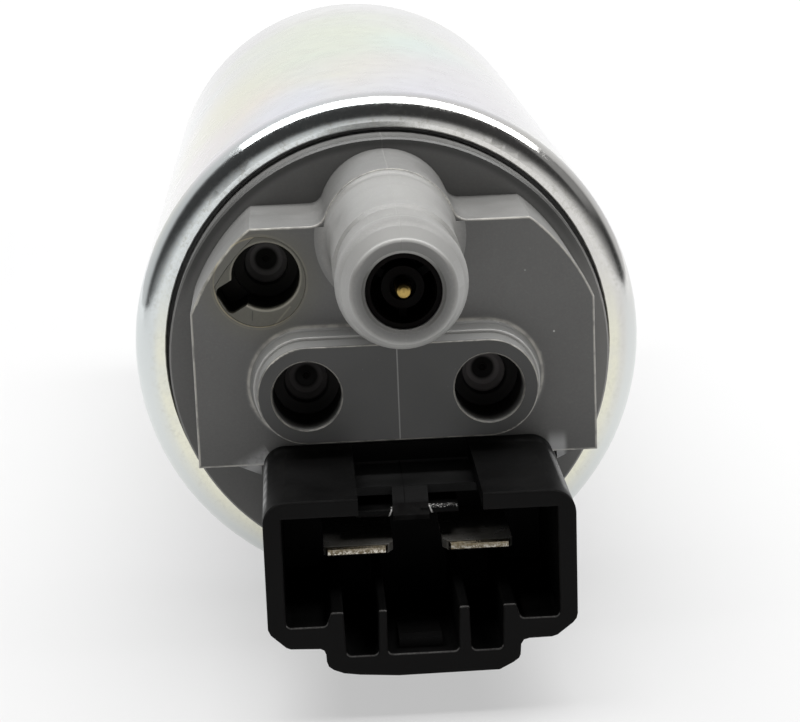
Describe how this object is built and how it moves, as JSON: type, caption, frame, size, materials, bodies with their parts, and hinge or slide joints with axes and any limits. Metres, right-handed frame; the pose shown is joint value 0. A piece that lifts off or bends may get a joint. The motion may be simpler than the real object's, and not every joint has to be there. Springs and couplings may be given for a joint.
{
  "type": "in-tank fuel pump",
  "caption": "Cylindrical in-tank electric fuel pump lying on its side: plated steel case, moulded end cap with angled block, hose nipple with check valve, keyed plug and blade connector.",
  "frame": {"origin": "on the pump axis, in the plane of the outlet-end crimp's front rim", "axes": "+Y along the pump axis towards the inlet end, so the outlet end faces -Y; +Z from the connector side towards the outlet nipple side; +X to the right when the outlet end is looked at"},
  "size_m": [0.039, 0.1263, 0.039],
  "materials": {
    "zinc_plated_steel": "satin",
    "grey_plastic": "satin",
    "black_plastic": "satin",
    "cover_plastic": "satin",
    "tinned_brass": "satin",
    "bare_brass": "satin",
    "spring_steel": "polished",
    "ground_steel": "polished",
    "sintered_iron": "matte",
    "cast_alloy": "matte",
    "laminated_steel": "satin",
    "copper": "satin",
    "enamelled_wire": "gloss",
    "sintered_bronze": "matte",
    "brown_resin": "satin",
    "black_rubber": "matte",
    "green_rubber": "matte",
    "ferrite": "matte",
    "brush_graphite": "matte"
  },
  "bodies": {
    "pump_body": {"case_tube": "zinc_plated_steel", "outlet_end_cap": "grey_plastic", "outlet_nipple": "grey_plastic", "relief_valve_plug": "grey_plastic", "relief_valve_spring": "spring_steel", "check_valve_cage": "black_plastic", "check_valve_spring": "spring_steel", "connector_shroud": "black_plastic", "terminal_left": "tinned_brass", "terminal_right": "tinned_brass", "choke_core_left": "sintered_iron", "choke_core_right": "sintered_iron", "choke_winding_left": "enamelled_wire", "choke_winding_right": "enamelled_wire", "brush_spring_left": "spring_steel", "brush_spring_right": "spring_steel", "brush_lead_left": "copper", "brush_lead_right": "copper", "top_bush": "sintered_bronze", "bottom_bush": "sintered_bronze", "magnet_left": "ferrite", "magnet_right": "ferrite", "magnet_clip_upper": "spring_steel", "magnet_clip_lower": "spring_steel", "flux_ring": "zinc_plated_steel", "pump_outlet_plate": "cast_alloy", "rotor_ring": "sintered_iron", "pump_inlet_plate": "cast_alloy", "inlet_cover": "cover_plastic", "cap_seal": "black_rubber", "inlet_seal": "black_rubber"},
    "armature": {"armature_shaft": "ground_steel", "commutator_hub": "brown_resin", "commutator_segments": "copper", "lamination_stack": "laminated_steel", "armature_windings": "enamelled_wire", "thrust_washer": "brown_resin", "inner_gear": "sintered_iron"},
    "outer_rotor": {"outer_gear": "sintered_iron"},
    "check_valve": {"check_valve_poppet": "bare_brass", "check_valve_seal": "green_rubber"},
    "relief_ball": {"relief_valve_ball": "ground_steel"},
    "brush_l": {"brush_left": "brush_graphite"},
    "brush_r": {"brush_right": "brush_graphite"}
  },
  "joints": [
    {"name": "armature_spin", "type": "hinge", "parent": "pump_body", "child": "armature", "pos_m": [0, 0.03, 0], "axis": [0, 1, 0], "continuous": true},
    {"name": "outer_gear_spin", "type": "hinge", "parent": "pump_body", "child": "outer_rotor", "pos_m": [0.00095, 0.061, 0], "axis": [0, 1, 0], "continuous": true},
    {"name": "check_valve_lift", "type": "slide", "parent": "pump_body", "child": "check_valve", "axis": [0, -1, 0], "range_m": [0, 0.001], "stiffness_N_per_m": 150, "springref_m": -0.004, "deforming": ["check_valve_spring"]},
    {"name": "relief_valve_lift", "type": "slide", "parent": "pump_body", "child": "relief_ball", "axis": [0, -1, 0], "range_m": [0, 0.001], "stiffness_N_per_m": 800, "springref_m": -0.002, "deforming": ["relief_valve_spring"]},
    {"name": "brush_left_feed", "type": "slide", "parent": "pump_body", "child": "brush_l", "axis": [0, -1, 0], "range_m": [0, 0.0015], "stiffness_N_per_m": 250, "springref_m": -0.006, "deforming": ["brush_spring_left", "brush_lead_left"]},
    {"name": "brush_right_feed", "type": "slide", "parent": "pump_body", "child": "brush_r", "axis": [0, -1, 0], "range_m": [0, 0.0015], "stiffness_N_per_m": 250, "springref_m": -0.006, "deforming": ["brush_spring_right", "brush_lead_right"]}
  ],
  "couplings": [
    {"joint": "outer_gear_spin", "follows": "armature_spin", "ratio": 0.85714}
  ]
}
